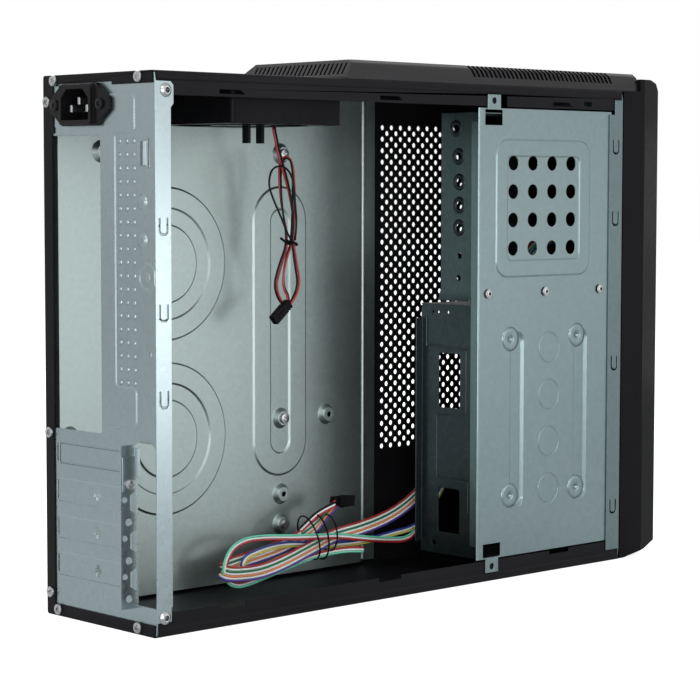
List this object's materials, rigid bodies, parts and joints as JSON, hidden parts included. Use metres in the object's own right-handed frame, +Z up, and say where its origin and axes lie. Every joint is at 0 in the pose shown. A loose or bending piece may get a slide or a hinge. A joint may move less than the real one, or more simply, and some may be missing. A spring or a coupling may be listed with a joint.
{
  "type": "slim mini ITX PC case with its side cover off",
  "caption": "Slim black computer case with an open side: folded shell, zinc tray and rear panel, drive cage, glossy bezel, small fan, power inlet, lead and cable hank.",
  "frame": {"origin": "centre of the flat base of the outer shell", "axes": "+X from the rear panel to the bezel, +Y from the open near side to the far wall, +Z up"},
  "size_m": [0.4172, 0.0987, 0.306],
  "materials": {
    "black_steel": "fine textured black powder coat",
    "zinc_rear": "galvanised sheet, cool grey, soft spangle",
    "zinc_tray": "galvanised sheet, grey green, soft spangle",
    "zinc_cage": "galvanised sheet, satin",
    "zinc_dark": "galvanised sheet in shade, satin",
    "bright_screw": "bright zinc plate",
    "dark_screw": "black oxide",
    "black_plastic": "black ABS, satin",
    "gloss_black": "piano black, gloss",
    "silver_button": "silver plated plastic",
    "green_board": "green solder mask",
    "clear_lens": "clear moulded lens",
    "inlet_black": "black nylon",
    "red_black_wire": "PVC insulation, a red and a black wire",
    "ribbon_wire": "PVC ribbon wires in several colours"
  },
  "bodies": {
    "case": {"outer_shell": "black_steel", "rear_panel": "zinc_rear", "slot_cover": "zinc_rear", "slot_cover_screw": "bright_screw", "motherboard_tray": "zinc_tray", "tray_screws": "bright_screw", "drive_cage_plate": "zinc_cage", "cage_rivets": "bright_screw", "disk_bracket": "zinc_cage", "optical_bracket": "zinc_dark", "front_frame": "zinc_cage", "front_bezel": "black_plastic", "front_face": "gloss_black", "drive_cover": "gloss_black", "front_io_board": "green_board", "button_switches": "black_plastic", "usb_sockets": "bright_screw", "audio_sockets": "black_plastic", "led_lens": "clear_lens", "top_cover": "black_plastic", "fan_frame": "black_plastic", "fan_screws": "bright_screw", "ac_inlet": "inlet_black", "inlet_pins": "bright_screw", "inlet_screws": "dark_screw", "rear_screws": "bright_screw", "ear_rivets": "bright_screw", "fan_lead": "red_black_wire", "fan_plug": "inlet_black", "fan_lead_tie": "inlet_black", "front_cable": "ribbon_wire", "cable_hank": "ribbon_wire", "cable_ties": "inlet_black", "cable_plugs": "inlet_black"},
    "rotor": {"fan_rotor": "black_plastic"},
    "power_key": {"power_button": "silver_button"},
    "reset_key": {"reset_button": "silver_button"}
  },
  "joints": [
    {"name": "fan_spin", "type": "hinge", "parent": "case", "child": "rotor", "pos_m": [-0.086, 0.0005, 0.28], "axis": [0, 0, 1], "continuous": true},
    {"name": "power_press", "type": "slide", "parent": "case", "child": "power_key", "axis": [-1, 0, 0], "range_m": [0, 0.0015], "stiffness_N_per_m": 400, "springref_m": -0.0005},
    {"name": "reset_press", "type": "slide", "parent": "case", "child": "reset_key", "axis": [-1, 0, 0], "range_m": [0, 0.0015], "stiffness_N_per_m": 400, "springref_m": -0.0005}
  ]
}
